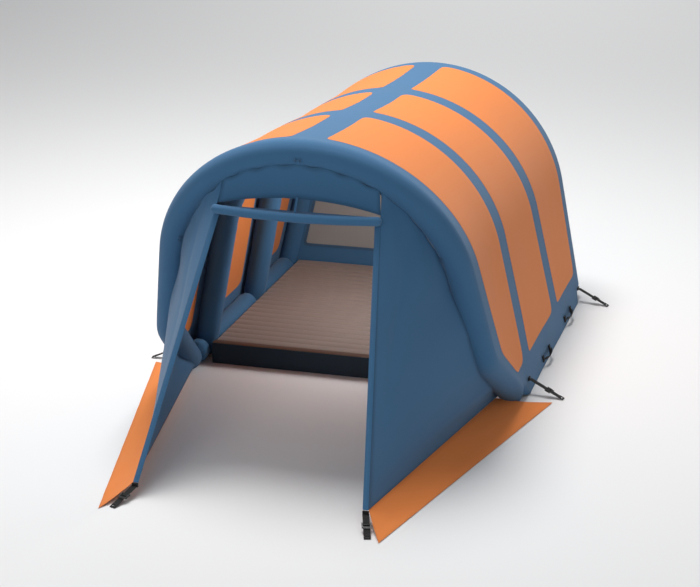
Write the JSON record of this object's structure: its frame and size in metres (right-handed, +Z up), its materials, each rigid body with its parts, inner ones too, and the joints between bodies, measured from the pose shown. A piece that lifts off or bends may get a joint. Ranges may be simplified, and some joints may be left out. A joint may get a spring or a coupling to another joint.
{
  "type": "inflatable tunnel tent",
  "caption": "Inflatable tunnel tent with arched air tubes, a two-colour canopy, an open porch with cloth wings, ground skirts and an air floor.",
  "frame": {"origin": "on the ground, below the middle of the tent overall length (porch tips to rear tube), on the centre line", "axes": "+Z up, the doorway and porch face -Y, the tunnel runs back along +Y, +X is to the right for someone looking in"},
  "size_m": [2.8748, 4.694, 1.9003],
  "materials": {
    "blue_fabric": "matt woven polyester, steel blue",
    "orange_fabric": "matt woven polyester, soft orange",
    "taupe_floor_fabric": "flocked floor cloth, brown grey",
    "navy_floor_fabric": "coated cloth, very dark blue",
    "brown_trim": "folded binding cloth, dark brown",
    "grey_mesh": "fine insect mesh, grey",
    "dark_binding": "woven tape, very dark blue",
    "black_webbing": "woven nylon webbing, black",
    "black_plastic": "moulded acetal, black"
  },
  "bodies": {
    "tent": {"hoop_tube_front": "blue_fabric", "hoop_tube_second": "blue_fabric", "hoop_tube_third": "blue_fabric", "hoop_tube_rear": "blue_fabric", "base_tubes_right": "blue_fabric", "base_tubes_left": "blue_fabric", "canopy_band_front": "blue_fabric", "canopy_band_second": "blue_fabric", "canopy_band_third": "blue_fabric", "canopy_band_rear": "blue_fabric", "canopy_ridge": "blue_fabric", "canopy_base_right": "blue_fabric", "canopy_base_left": "blue_fabric", "panel_front_right": "orange_fabric", "panel_front_left": "orange_fabric", "panel_middle_right": "orange_fabric", "panel_middle_left": "orange_fabric", "panel_rear_right": "orange_fabric", "panel_rear_left": "orange_fabric", "rear_wall": "blue_fabric", "rear_window_mesh": "grey_mesh", "rear_window_binding": "dark_binding", "wing_right": "blue_fabric", "wing_left": "blue_fabric", "jamb_strip_right": "blue_fabric", "jamb_strip_left": "blue_fabric", "valance": "blue_fabric", "lintel_tube": "blue_fabric", "lintel_web": "blue_fabric", "lintel_strap": "black_webbing", "skirt_tail_right": "orange_fabric", "skirt_tail_left": "orange_fabric", "toggle_loops": "black_webbing", "air_floor": "taupe_floor_fabric", "floor_mat": "taupe_floor_fabric", "floor_front_panel": "navy_floor_fabric", "floor_front_trim": "brown_trim", "strap_tabs": "black_webbing", "handle_patches": "black_webbing", "valve_body": "black_plastic"},
    "skirt_right_body": {"skirt_right": "orange_fabric"},
    "skirt_left_body": {"skirt_left": "orange_fabric"},
    "strap_corner_right_body": {"strap_corner_right": "black_webbing"},
    "strap_corner_left_body": {"strap_corner_left": "black_webbing"},
    "buckle_corner_right_body": {"buckle_corner_right": "black_plastic"},
    "buckle_corner_left_body": {"buckle_corner_left": "black_plastic"},
    "strap_guy_front_right_body": {"strap_guy_front_right": "black_webbing"},
    "strap_guy_front_left_body": {"strap_guy_front_left": "black_webbing"},
    "buckle_guy_front_right_body": {"buckle_guy_front_right": "black_plastic"},
    "buckle_guy_front_left_body": {"buckle_guy_front_left": "black_plastic"},
    "strap_guy_rear_right_body": {"strap_guy_rear_right": "black_webbing"},
    "strap_guy_rear_left_body": {"strap_guy_rear_left": "black_webbing"},
    "buckle_guy_rear_right_body": {"buckle_guy_rear_right": "black_plastic"},
    "buckle_guy_rear_left_body": {"buckle_guy_rear_left": "black_plastic"},
    "handle_front_right_body": {"handle_front_right": "black_webbing"},
    "handle_front_left_body": {"handle_front_left": "black_webbing"},
    "handle_rear_right_body": {"handle_rear_right": "black_webbing"},
    "handle_rear_left_body": {"handle_rear_left": "black_webbing"},
    "valve_plunger_body": {"valve_plunger": "black_plastic"},
    "valve_cap_body": {"valve_cap": "black_plastic"}
  },
  "joints": [
    {"name": "skirt_right_fold", "type": "hinge", "parent": "tent", "child": "skirt_right_body", "pos_m": [0.716, -2.115, 0.078], "axis": [-0.1705, -0.9852, 0.0157], "range_deg": [0, 70]},
    {"name": "skirt_left_fold", "type": "hinge", "parent": "tent", "child": "skirt_left_body", "pos_m": [-0.716, -2.115, 0.078], "axis": [-0.1705, 0.9852, -0.0157], "range_deg": [0, 70]},
    {"name": "strap_corner_right_lift", "type": "hinge", "parent": "tent", "child": "strap_corner_right_body", "pos_m": [0.691, -2.125, 0.062], "axis": [-0.9507, -0.3102, 0], "range_deg": [0, 52]},
    {"name": "buckle_corner_right_slide", "type": "slide", "parent": "strap_corner_right_body", "child": "buckle_corner_right_body", "axis": [0.2971, -0.9105, -0.2875], "range_m": [-0.05, 0.04]},
    {"name": "strap_corner_left_lift", "type": "hinge", "parent": "tent", "child": "strap_corner_left_body", "pos_m": [-0.691, -2.125, 0.062], "axis": [-0.9507, 0.3102, 0], "range_deg": [0, 52]},
    {"name": "buckle_corner_left_slide", "type": "slide", "parent": "strap_corner_left_body", "child": "buckle_corner_left_body", "axis": [-0.2971, -0.9105, -0.2875], "range_m": [-0.05, 0.04]},
    {"name": "strap_guy_front_right_lift", "type": "hinge", "parent": "tent", "child": "strap_guy_front_right_body", "pos_m": [1.19806, 0.08, 0.104], "axis": [-0.201, -0.9796, 0], "range_deg": [0, 70]},
    {"name": "buckle_guy_front_right_slide", "type": "slide", "parent": "strap_guy_front_right_body", "child": "buckle_guy_front_right_body", "axis": [0.9009, -0.1848, -0.3928], "range_m": [-0.08, 0.04]},
    {"name": "strap_guy_front_left_lift", "type": "hinge", "parent": "tent", "child": "strap_guy_front_left_body", "pos_m": [-1.19806, 0.08, 0.104], "axis": [-0.201, 0.9796, 0], "range_deg": [0, 70]},
    {"name": "buckle_guy_front_left_slide", "type": "slide", "parent": "strap_guy_front_left_body", "child": "buckle_guy_front_left_body", "axis": [-0.9009, -0.1848, -0.3928], "range_m": [-0.08, 0.04]},
    {"name": "strap_guy_rear_right_lift", "type": "hinge", "parent": "tent", "child": "strap_guy_rear_right_body", "pos_m": [1.19806, 2.02, 0.104], "axis": [-0.2027, -0.9793, 0], "range_deg": [0, 70]},
    {"name": "buckle_guy_rear_right_slide", "type": "slide", "parent": "strap_guy_rear_right_body", "child": "buckle_guy_rear_right_body", "axis": [0.8994, -0.1861, -0.3955], "range_m": [-0.08, 0.04]},
    {"name": "strap_guy_rear_left_lift", "type": "hinge", "parent": "tent", "child": "strap_guy_rear_left_body", "pos_m": [-1.19806, 2.02, 0.104], "axis": [-0.2027, 0.9793, 0], "range_deg": [0, 70]},
    {"name": "buckle_guy_rear_left_slide", "type": "slide", "parent": "strap_guy_rear_left_body", "child": "buckle_guy_rear_left_body", "axis": [-0.8994, -0.1861, -0.3955], "range_m": [-0.08, 0.04]},
    {"name": "handle_front_right_swing", "type": "hinge", "parent": "tent", "child": "handle_front_right_body", "pos_m": [1.2062, 0.698, 0.06], "axis": [0, -1, 0], "range_deg": [0, 95]},
    {"name": "handle_front_left_swing", "type": "hinge", "parent": "tent", "child": "handle_front_left_body", "pos_m": [-1.2062, 0.698, 0.06], "axis": [0, 1, 0], "range_deg": [0, 95]},
    {"name": "handle_rear_right_swing", "type": "hinge", "parent": "tent", "child": "handle_rear_right_body", "pos_m": [1.2062, 1.548, 0.06], "axis": [0, -1, 0], "range_deg": [0, 95]},
    {"name": "handle_rear_left_swing", "type": "hinge", "parent": "tent", "child": "handle_rear_left_body", "pos_m": [-1.2062, 1.548, 0.06], "axis": [0, 1, 0], "range_deg": [0, 95]},
    {"name": "valve_cap_swing", "type": "hinge", "parent": "tent", "child": "valve_cap_body", "pos_m": [-1.02289, 2.2402, 0.38202], "axis": [-1, 0, 0], "range_deg": [0, 110]},
    {"name": "valve_plunger_press", "type": "slide", "parent": "tent", "child": "valve_plunger_body", "axis": [0, -0.9952, 0.0976], "range_m": [0, 0.003], "stiffness_N_per_m": 300, "springref_m": -0.001}
  ]
}
